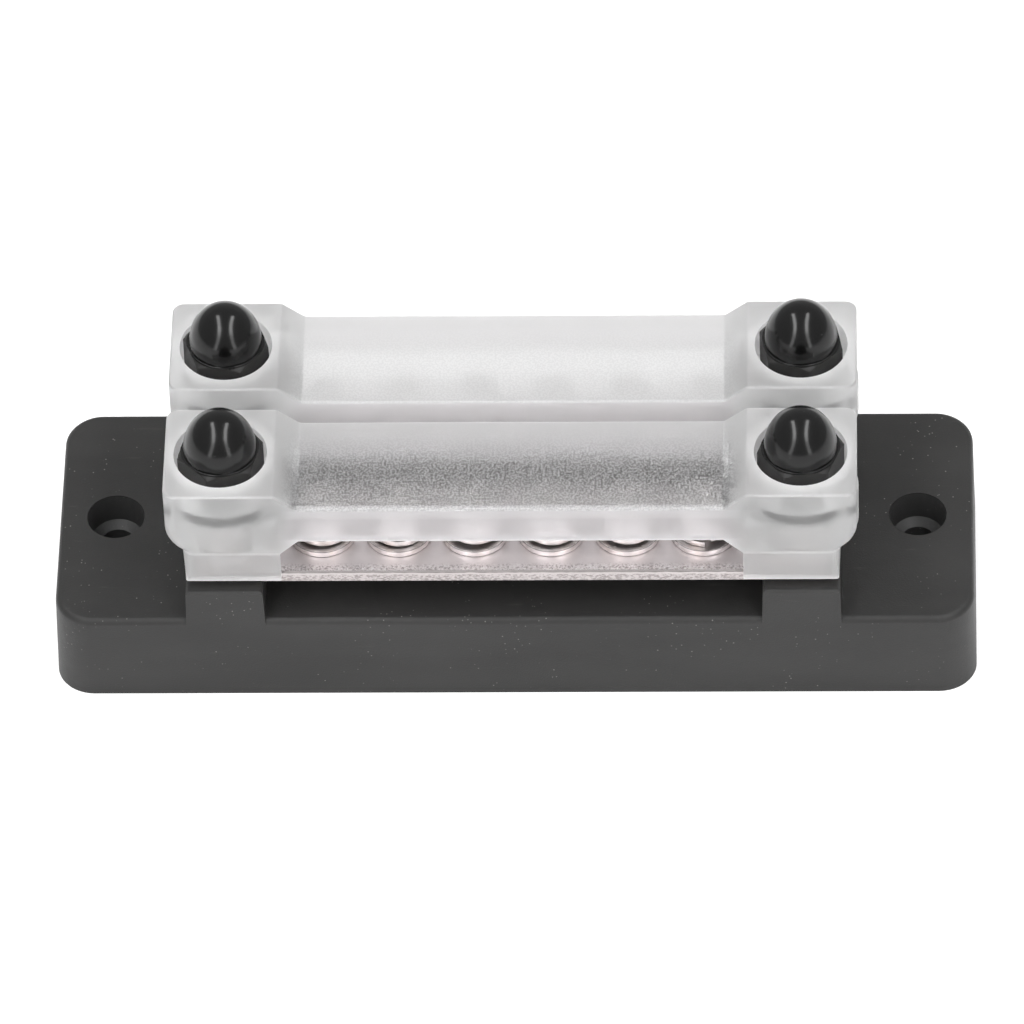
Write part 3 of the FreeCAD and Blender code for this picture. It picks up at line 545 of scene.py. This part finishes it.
def joined(surfaces):
    """One list of points and faces from several surfaces."""
    points, faces, count = [], [], 0
    for some_points, some_faces in surfaces:
        points.append(some_points)
        faces.append(np.asarray(some_faces) + count)
        count += len(some_points)
    return np.concatenate(points), np.concatenate(faces)


def placed(surface, node, turn=0.0, height=0.0):
    """A surface turned by some degrees about the vertical, moved onto a node's axis and raised."""
    points, faces = surface
    c, s = math.cos(math.radians(turn)), math.sin(math.radians(turn))
    spin = np.array(((c, -s, 0), (s, c, 0), (0, 0, 1)))
    centre = middle(node)
    return points @ spin.T + np.array((centre.x, centre.y, height)), faces


# Meshes and pieces

def close_seams(mesh, gap=0.002 * MM):
    """Merge points that coincide, drop faces without area and make the faces point outwards."""
    work = bmesh.new()
    work.from_mesh(mesh)
    bmesh.ops.remove_doubles(work, verts=work.verts, dist=gap)
    bmesh.ops.dissolve_degenerate(work, edges=work.edges, dist=gap / 10)
    bmesh.ops.recalc_face_normals(work, faces=work.faces)
    work.to_mesh(mesh)
    work.free()


def mark_sharp_edges(mesh, angle):
    """Shade a mesh smoothly, apart from the edges where its faces meet at more than an angle."""
    if "custom_normal" in mesh.attributes:
        mesh.attributes.remove(mesh.attributes["custom_normal"])
    work = bmesh.new()
    work.from_mesh(mesh)
    work.normal_update()
    for face in work.faces:
        face.smooth = True
    for edge in work.edges:
        edge.smooth = edge.is_manifold and edge.calc_face_angle() < angle
    work.to_mesh(mesh)
    work.free()


def dress(piece, node, materials, slot, sharp=32.0):
    """Show a piece in place of a CAD node: give it its slot's material, its shading and the node's body."""
    bpy.context.scene.collection.objects.link(piece)
    piece.data.materials.clear()
    piece.data.materials.append(materials[slot])
    mark_sharp_edges(piece.data, math.radians(sharp))
    even = piece.modifiers.new("even_shading", "WEIGHTED_NORMAL")
    even.keep_sharp = True
    even.weight = 100
    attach(piece, body_of(node))
    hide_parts(node)


def make_piece(node, manner, surface, materials, slot):
    """Make a surface of points and faces a piece that stands for a node, named after how it is worked."""
    points, faces = surface
    name = f"{node}_{manner}"
    mesh = bpy.data.meshes.new(name)
    mesh.from_pydata(points.tolist(), [], faces.tolist())
    close_seams(mesh)
    dress(bpy.data.objects.new(name, mesh), node, materials, slot)


def copied(node):
    """A copy of a CAD node with its loose triangles merged."""
    source = frame["nodes"][node]
    name = f"{node}_dressed"
    mesh = source.data.copy()
    mesh.name = name
    mesh.transform(source.matrix_world)
    work = bmesh.new()
    work.from_mesh(mesh)
    bmesh.ops.remove_doubles(work, verts=work.verts, dist=0.001 * MM)
    work.to_mesh(mesh)
    work.free()
    return bpy.data.objects.new(name, mesh)


# Nuts with hexagons

def hexagon_radius(u):
    """Distance from the axis to a hexagon's side: half the width over the cosine of the angle from the nearest
    flat, drawn in near the corners so that they are slightly rounded."""
    sector = FULL_TURN / 6
    from_flat = (u % sector) - sector / 2
    plain = HEX_WIDTH / 2 / np.cos(from_flat)
    rounded = HEX_WIDTH / math.sqrt(3) - HEX_SOFTNESS
    return np.minimum(plain, rounded + (plain - rounded) * 0.35)


def hexagon_prism(low, high, bevel_radius, inner_low, inner_high, bevel_both=True):
    """Walls and ends of a hexagon as a grid: each column runs from the inner radius along the underside, up the
    flat and back along the top, and leaves the flat where a 30 degree cone of the bevel radius meets it."""
    u = angles(HEX_STEPS)
    side = hexagon_radius(u)
    crown = np.minimum(side, bevel_radius)
    drop = np.maximum(side - bevel_radius, 0) * math.tan(math.radians(30))
    if bevel_both:
        lower = [(crown, low), (side - HEX_EDGE * 0.4, low + drop + HEX_EDGE * 0.25)]
    else:
        lower = [(side - HEX_EDGE, low), (side - HEX_EDGE * 0.3, low + HEX_EDGE * 0.3)]
    rows = [(inner_low, low), *lower, (side, low + drop + HEX_EDGE), (side, high - drop - HEX_EDGE),
            (side - HEX_EDGE * 0.4, high - drop - HEX_EDGE * 0.25), (crown, high), (inner_high, high)]
    r, z = (np.array([np.broadcast_to(row[part], u.shape) for row in rows]) for part in (0, 1))
    return round_axis(r, u, z), grid_faces(len(rows), HEX_STEPS, close_columns=True)


def dome_profile():
    """Outline of a cap nut's dome: a fillet where it leaves the hexagon, then the ellipse r = R cos t,
    z = H sin t up to the pole."""
    t = np.linspace(0, math.pi / 2, 48)[1:]
    spring = CAP_SHOULDER + CAP_FILLET
    rise = CAP_NECK + CAP_DOME_RADIUS - CAP_FILLET
    return np.concatenate((
        [(CAP_DOME_RADIUS + CAP_FILLET, CAP_SHOULDER - 0.02 * MM)],
        arc((CAP_DOME_RADIUS + CAP_FILLET, spring), CAP_FILLET, -90, -180, 5),
        np.column_stack((CAP_DOME_RADIUS * np.cos(t), spring + rise * np.sin(t))),
    ))


def make_cap_nuts(materials):
    """Domed cap nuts with a blind bore that ends above the stud."""
    bore = STUD_RADIUS + THREAD_CLEARANCE
    mouth = bore + 0.3 * MM
    for name in STUDS:
        node = f"{name}_cap_nut"
        low, bore_top = foot(node), top(f"{name}_stud") + 0.5 * MM
        dome = dome_profile()
        inside = [(0, bore_top), (bore - 0.3 * MM, bore_top), (bore, bore_top - 0.3 * MM),
                  (bore, low + 0.4 * MM), (mouth, low)]
        hexagon = hexagon_prism(low, low + CAP_HEX_HEIGHT, NUT_BEVEL_RADIUS, mouth, dome[0][0])
        nut = joined((hexagon, turned(dome, HEX_STEPS), turned(inside, HEX_STEPS)))
        make_piece(node, "domed", placed(nut, node, CAP_NUT_TURNS[name]), materials, "cap_black")


def make_stud_nuts(materials):
    """Hexagon nuts, bevelled on both faces, with a countersunk bore."""
    bore = STUD_RADIUS + THREAD_CLEARANCE
    mouth = STUD_RADIUS + 0.4 * MM
    for name in STUDS:
        node = f"{name}_stud_nut"
        low, high = foot(node), top(node)
        inside = [(mouth, low), (bore, low + 0.4 * MM), (bore, high - 0.4 * MM), (mouth, high)]
        hexagon = hexagon_prism(low, high, NUT_BEVEL_RADIUS, mouth, mouth)
        nut = joined((hexagon, turned(inside, HEX_STEPS)))
        make_piece(node, "bevelled", placed(nut, node, STUD_NUT_TURN), materials, "zinc_steel")


# Studs and washers

def shank_surface(radius, pitch, low, high, chamfer, thread_low, columns):
    """Threaded shank as a grid over the angle and the height, closed at its lower and upper end."""
    rows_a_pitch = 8
    rows = int((high - low) / pitch * rows_a_pitch)
    u = angles(columns)
    z = np.linspace(low, high, rows)[:, None]
    r = thread_radius(u, z, radius, pitch, thread_low, high - chamfer * 0.4)
    r = np.minimum(r, radius - chamfer + (high - z))
    lower, upper = round_axis(0.0, u, low), round_axis(0.0, u, high)
    points = np.concatenate((lower, round_axis(r, u, z), upper))
    return points, grid_faces(rows + 2, columns, close_columns=True)


def bolt_head(low, high):
    """Hexagon bolt head, closed over its axis on both faces, with its bevel below."""
    points, faces = hexagon_prism(low, high, HEX_WIDTH / 2 - 0.1 * MM, 0.0, 0.0, bevel_both=False)
    points[:, 2] = low + high - points[:, 2]
    return points, faces


def make_studs(materials):
    """Hexagon bolts whose thread begins above the busbar."""
    for name in STUDS:
        node = f"{name}_stud"
        low, high, seat = foot(node), top(node), foot(node) + STUD_HEAD_HEIGHT
        shank = shank_surface(STUD_RADIUS, STUD_PITCH, seat - 0.2 * MM, high, 0.8 * MM,
                              seat + STUD_PLAIN_LENGTH, 56)
        bolt = joined((bolt_head(low, seat), shank))
        make_piece(node, "threaded", placed(bolt, node), materials, "zinc_steel")


def split_ring(inner, outer, low, thickness, rise, filled, steps=72):
    """Flat wire carried once round the axis: the section at angle t is a rounded rectangle raised by
    rise * t / end, left-handed, with its two cut ends closed."""
    section = rounded_rectangle((inner, 0), (outer, thickness), 0.12 * MM)
    around = len(section)
    t = np.linspace(0, filled * FULL_TURN, steps)[:, None]
    points = round_axis(section[:, 0], -t, low + section[:, 1] + rise * t / t.max())
    hubs = np.array([points[:around].mean(0), points[-around:].mean(0)])
    faces = [grid_faces(steps, around, close_columns=True)]
    corner = np.arange(around)
    for hub, start in ((len(points), 0), (len(points) + 1, (steps - 1) * around)):
        centre = np.full(around, hub)
        faces.append(np.column_stack((start + corner, start + (corner + 1) % around, centre, centre)))
    return np.concatenate((points, hubs)), np.concatenate(faces)


def make_stud_washers(materials):
    """The flat washer and the flattened split lock washer of each stud."""
    gap_share = 1.0 * MM / (FULL_TURN * STUD_LOCK_WASHER_RADIUS * 0.75)
    for name in STUDS:
        node = f"{name}_stud_washer"
        section = rounded_rectangle((STUD_WASHER_BORE, foot(node)), (span(node) / 2, top(node)), 0.18 * MM)
        make_piece(node, "rounded", placed(turned(section, closed=True), node), materials, "zinc_steel")
        node = f"{name}_stud_lock_washer"
        ring = split_ring(STUD_WASHER_BORE, STUD_LOCK_WASHER_RADIUS, foot(node), STUD_LOCK_WASHER_THICKNESS,
                          0.0, 1 - gap_share)
        turn = STUD_SPLIT_TURNS[name] - gap_share * 180
        make_piece(node, "split", placed(ring, node, turn), materials, "zinc_steel")


def make_terminal_washers(materials):
    """The flat washers and the sprung split lock washers of a row, each group as one piece."""
    for row in ROWS:
        flat, split = f"{row}_flat_washers", f"{row}_lock_washers"
        rise = top(split) - foot(split) - SCREW_LOCK_WASHER_THICKNESS
        section = rounded_rectangle((SCREW_WASHER_BORE, foot(flat)), (span(flat, 1) / 2, top(flat)), 0.09 * MM)
        ring = turned(section, 80, closed=True)
        coil = split_ring(SCREW_WASHER_BORE, span(split, 1) / 2, foot(split), SCREW_LOCK_WASHER_THICKNESS,
                          rise, 0.965)
        screws = [f"{row}_terminal_screw_{number}" for number in TERMINALS]
        rings = joined([placed(ring, screw) for screw in screws])
        coils = joined([placed(coil, screw, turn) for screw, turn in zip(screws, LOCK_WASHER_TURNS[row])])
        make_piece(flat, "rounded", rings, materials, "zinc_steel")
        make_piece(split, "sprung", coils, materials, "zinc_steel")


# Clamping screws

def head_height(r):
    """Height of the pan head's top at a radius: flat, then a quarter circle down to the side."""
    past = np.clip(r - (HEAD_RADIUS - HEAD_ROUNDING), 0, HEAD_ROUNDING)
    return HEAD_HEIGHT - HEAD_ROUNDING + np.sqrt(HEAD_ROUNDING ** 2 - past ** 2)


def recess_depth(x, y):
    """Depth of the cross recess: two crossed wings whose floors rise towards their tips."""
    def wing(along, across):
        width = RECESS_WING * (1.0 - 0.25 * np.abs(along) / RECESS_SPAN)
        side = np.clip((width / 2 - np.abs(across)) / (0.12 * MM) + 0.5, 0, 1)
        end = np.clip((RECESS_SPAN - np.abs(along)) / (0.55 * RECESS_SPAN), 0, 1)
        return side * np.sqrt(end)
    return RECESS_DEPTH * np.maximum(wing(x, y), wing(y, x))


def screw_surface():
    """A pan head screw seated at height zero: the top is a grid over angle and radius whose height is the head's
    profile less the recess, the side and underside are turned, and the shank is threaded."""
    lip = 0.15 * MM
    tuck = 0.1 * MM
    u = angles(HEAD_STEPS)
    inner = np.linspace(0, RECESS_SPAN + 0.1 * MM, 44)
    outer = HEAD_RADIUS - HEAD_ROUNDING + HEAD_ROUNDING * np.sin(np.radians(np.linspace(8, 90, 16)))
    r = np.concatenate((inner, outer[outer > inner[-1]]))[:, None]
    height = head_height(r) - recess_depth(r * np.cos(u), r * np.sin(u))
    head = (round_axis(r, u, height), grid_faces(len(r), HEAD_STEPS, close_columns=True))
    under = turned([(HEAD_RADIUS, HEAD_HEIGHT - HEAD_ROUNDING), (HEAD_RADIUS, lip), (HEAD_RADIUS - lip, 0),
                    (SCREW_RADIUS - tuck, 0)], HEAD_STEPS)
    points, faces = shank_surface(SCREW_RADIUS, SCREW_PITCH, 0.0, SCREW_LENGTH + tuck, 0.4 * MM, 0.3 * MM, 48)
    points[:, 2] = tuck - points[:, 2]
    return joined((head, under, (points, faces)))


def make_screws(materials):
    screw = screw_surface()
    for row in ROWS:
        for number, turn in zip(TERMINALS, SCREW_TURNS[row]):
            node = f"{row}_terminal_screw_{number}"
            seated = placed(screw, node, turn, top(node) - HEAD_HEIGHT)
            make_piece(node, "pan_head", seated, materials, "nickel_steel")


# Moulded base, busbars and covers

def remake_hole_walls(mesh):
    """Bridge the rim and the foot of each mounting hole's wall with one ring of even quads."""
    near = 0.02 * MM
    work = bmesh.new()
    work.from_mesh(mesh)
    for side in (-1, 1):
        def on_wall(vertex):
            x, y, z = vertex.co
            from_axis = math.hypot(x - side * HOLE_REACH, y)
            return from_axis < HOLE_MOUTH + near and HOLE_WALL_FOOT - near < z < DECK_HEIGHT + near
        wall = [face for face in work.faces if all(on_wall(vertex) for vertex in face.verts)]
        bmesh.ops.delete(work, geom=wall, context="FACES")
        loops = [edge for edge in work.edges if edge.is_boundary and all(on_wall(end) for end in edge.verts)]
        bmesh.ops.bridge_loops(work, edges=loops)
    bmesh.ops.recalc_face_normals(work, faces=work.faces)
    work.to_mesh(mesh)
    work.free()


def square_skirt_corners(mesh, row_y):
    """Tighten the upright corners of a cover's skirt: a point at angle t about the centre of a corner's arc moves
    out along its ray by the ratio of a square with small round corners to that arc."""
    flat = np.empty(len(mesh.vertices) * 3)
    mesh.vertices.foreach_get("co", flat)
    points = flat.reshape(-1, 3)
    x, y, z = points[:, 0], points[:, 1] - row_y, points[:, 2]
    centre_x = SKIRT_END + (z - COVER_HEM) * SKIRT_DRAFT - COVER_CORNER
    centre_y = COVER_HALF_WIDTH - COVER_CORNER
    u, v = np.abs(x) - centre_x, np.abs(y) - centre_y
    t = np.arctan2(v, u)
    both = np.cos(t) + np.sin(t)
    larger, smaller = np.maximum(np.cos(t), np.sin(t)), np.minimum(np.cos(t), np.sin(t))
    inner = COVER_CORNER - SKIRT_CORNER
    rounded = inner * both + np.sqrt(np.maximum((inner * both) ** 2 - 2 * inner ** 2 + SKIRT_CORNER ** 2, 0))
    straight = COVER_CORNER / larger
    ratio = np.where(smaller * COVER_CORNER > inner * larger, rounded, straight) / COVER_CORNER
    moved = (u > 0) & (v > 0) & (z < COVER_LEDGE + 0.02 * MM)
    points[:, 0] = np.where(moved, np.sign(x) * (centre_x + u * ratio), x)
    points[:, 1] = np.where(moved, np.sign(y) * (centre_y + v * ratio), y) + row_y
    mesh.vertices.foreach_set("co", points.ravel())


def make_moulded(materials):
    """Dress copies of the base, the busbars and the covers."""
    slots = {"base": "moulding_black", "front_busbar": "plated_copper", "rear_busbar": "plated_copper",
             "front_cover": "frosted_cover", "rear_cover": "frosted_cover"}
    for node, slot in slots.items():
        piece = copied(node)
        if slot == "frosted_cover":
            square_skirt_corners(piece.data, middle(node).y)
        if node == "base":
            remake_hole_walls(piece.data)
        dress(piece, node, materials, slot, sharp=28.0)


# Floor, lights and camera

CAMERA_TARGET = Vector((-0.57, 0.0, 14.46)) * MM
CAMERA_DISTANCE = 1447.4 * MM
CAMERA_ELEVATION = math.radians(47.40)
CAMERA_AZIMUTH = math.radians(2.94)
CAMERA_ROLL = math.radians(-2.365)
CAMERA_LENS = 385.3
CAMERA_SENSOR = 36.0

FLOOR_HALF_WIDTH = 3.0
SOFTBOX_DIRECTION = Vector((-0.3, 0.1, 1.0))
SOFTBOX_DISTANCE = 1.0
SOFTBOX_SIZE = (0.8, 0.6)
SOFTBOX_POWER = 2.0
CARD_DISTANCE = 1.1


def camera_axes():
    """The camera's right, up and forward directions."""
    forward = Vector((-math.sin(CAMERA_AZIMUTH) * math.cos(CAMERA_ELEVATION),
                      math.cos(CAMERA_AZIMUTH) * math.cos(CAMERA_ELEVATION), -math.sin(CAMERA_ELEVATION)))
    level = Vector((math.cos(CAMERA_AZIMUTH), math.sin(CAMERA_AZIMUTH), 0))
    upright = level.cross(forward)
    right = math.cos(CAMERA_ROLL) * level + math.sin(CAMERA_ROLL) * upright
    up = -math.sin(CAMERA_ROLL) * level + math.cos(CAMERA_ROLL) * upright
    return right, up, forward


def make_camera():
    right, up, forward = camera_axes()
    data = bpy.data.cameras.new("photo_camera")
    data.lens = CAMERA_LENS
    data.sensor_width = CAMERA_SENSOR
    data.clip_end = 50
    camera = bpy.data.objects.new("photo_camera", data)
    columns = Matrix((right, up, -forward)).transposed().to_4x4()
    camera.matrix_world = Matrix.Translation(CAMERA_TARGET - CAMERA_DISTANCE * forward) @ columns
    bpy.context.scene.collection.objects.link(camera)
    bpy.context.scene.camera = camera


def set_up(name, points, faces, material):
    """Add a floor or card that isn't part of the object."""
    mesh = bpy.data.meshes.new(name)
    mesh.from_pydata(points, [], faces)
    mesh.materials.append(material)
    staged = bpy.data.objects.new(name, mesh)
    bpy.context.scene.collection.objects.link(staged)
    return staged


def make_floor():
    finish = Finish("pale_floor", roughness=0.9, specular_ior_level=0.1, emission_strength=0.48)
    shade = finish.noise(0.5, 1.0)
    tone = finish.blend(shade, grey(0.69), grey(0.71))
    glow = finish.blend(shade, grey(0.79), grey(0.81))
    finish.feed(base_color=tone, emission_color=glow)
    half = FLOOR_HALF_WIDTH
    corners = [(-half, -half, 0), (half, -half, 0), (half, half, 0), (-half, half, 0)]
    set_up("floor", corners, [(0, 1, 2, 3)], finish.material)


def make_sky():
    """Soft light from all round, a little stronger towards the top."""
    world = bpy.data.worlds.new("soft_room")
    world.use_nodes = True
    tree = world.node_tree
    sky = tree.nodes["Background"]
    sky.inputs["Color"].default_value = (1.0, 1.0, 1.0, 1.0)
    direction = tree.nodes.new("ShaderNodeSeparateXYZ")
    tree.links.new(tree.nodes.new("ShaderNodeTexCoord").outputs["Generated"], direction.inputs["Vector"])
    fading = tree.nodes.new("ShaderNodeMapRange")
    for name, value in (("From Min", 0.0), ("From Max", 0.8), ("To Min", 0.53), ("To Max", 0.61)):
        fading.inputs[name].default_value = value
    tree.links.new(direction.outputs["Z"], fading.inputs["Value"])
    tree.links.new(fading.outputs["Result"], sky.inputs["Strength"])
    bpy.context.scene.world = world


def make_softbox():
    """A large rectangular light above the object that no surface mirrors."""
    data = bpy.data.lights.new("softbox_top", "AREA")
    data.shape = "RECTANGLE"
    data.size, data.size_y = SOFTBOX_SIZE
    data.energy = SOFTBOX_POWER
    softbox = bpy.data.objects.new("softbox_top", data)
    away = SOFTBOX_DIRECTION.normalized()
    facing_down = away.to_track_quat("Z", "Y").to_matrix().to_4x4()
    softbox.matrix_world = Matrix.Translation(CAMERA_TARGET + SOFTBOX_DISTANCE * away) @ facing_down
    softbox.visible_glossy = False
    bpy.context.scene.collection.objects.link(softbox)


def make_strip_cards():
    """Two bright cards that the domes mirror as a pair of bowed lines.

    At (s, t) the dome's normal is (nx, ny) in the camera's own frame, with ny = s and
    nx = side * (0.175 + (0.5 - s / 4) * (s - 0.08) ** 2) + 0.045 t, and the card lies where the view is mirrored
    to: 2 (n . v) n - v, times its distance. The camera itself doesn't see the cards."""
    finish = Finish("strip_card", emission_strength=8.2)
    x, y, z = finish.coordinates()
    glow = finish.noise(0.4, 1.0) * 0.1 + z.rising(0.5, 0.9) * 0.65 + 0.3
    finish.feed(emission_color=finish.blend(glow, grey(0.0), grey(1.0)))
    right, up, forward = camera_axes()
    axes = np.array((right, up, -forward))
    s = np.linspace(-0.38, 0.5, 21)[:, None]
    t = np.linspace(-1, 1, 3)[None, :]
    for name, side in (("left_card", -1), ("right_card", 1)):
        nx = side * (0.175 + (0.5 - s / 4) * (s - 0.08) ** 2) + 0.045 * t
        ny = np.broadcast_to(s, nx.shape)
        nz = np.sqrt(1 - nx ** 2 - ny ** 2)
        mirrored = np.stack((2 * nz * nx, 2 * nz * ny, 2 * nz * nz - 1), -1) @ axes
        points = mirrored * CARD_DISTANCE + np.array(CAMERA_TARGET)
        card = set_up(name, points.reshape(-1, 3).tolist(), grid_faces(*nx.shape).tolist(), finish.material)
        card.visible_camera = False


def set_colours():
    view = bpy.context.scene.view_settings
    view.view_transform = "Standard"
    view.look = "None"


def main():
    materials = {
        "moulding_black": moulding_black(),
        "frosted_cover": frosted_cover(),
        "cap_black": cap_black(),
        "plated_copper": plated_busbar(),
        "nickel_steel": nickel_screw(),
        "zinc_steel": zinc_hardware(),
    }
    set_colours()
    make_camera()
    make_floor()
    make_sky()
    make_softbox()
    make_strip_cards()
    make_moulded(materials)
    make_cap_nuts(materials)
    make_studs(materials)
    make_stud_nuts(materials)
    make_stud_washers(materials)
    make_screws(materials)
    make_terminal_washers(materials)


main()
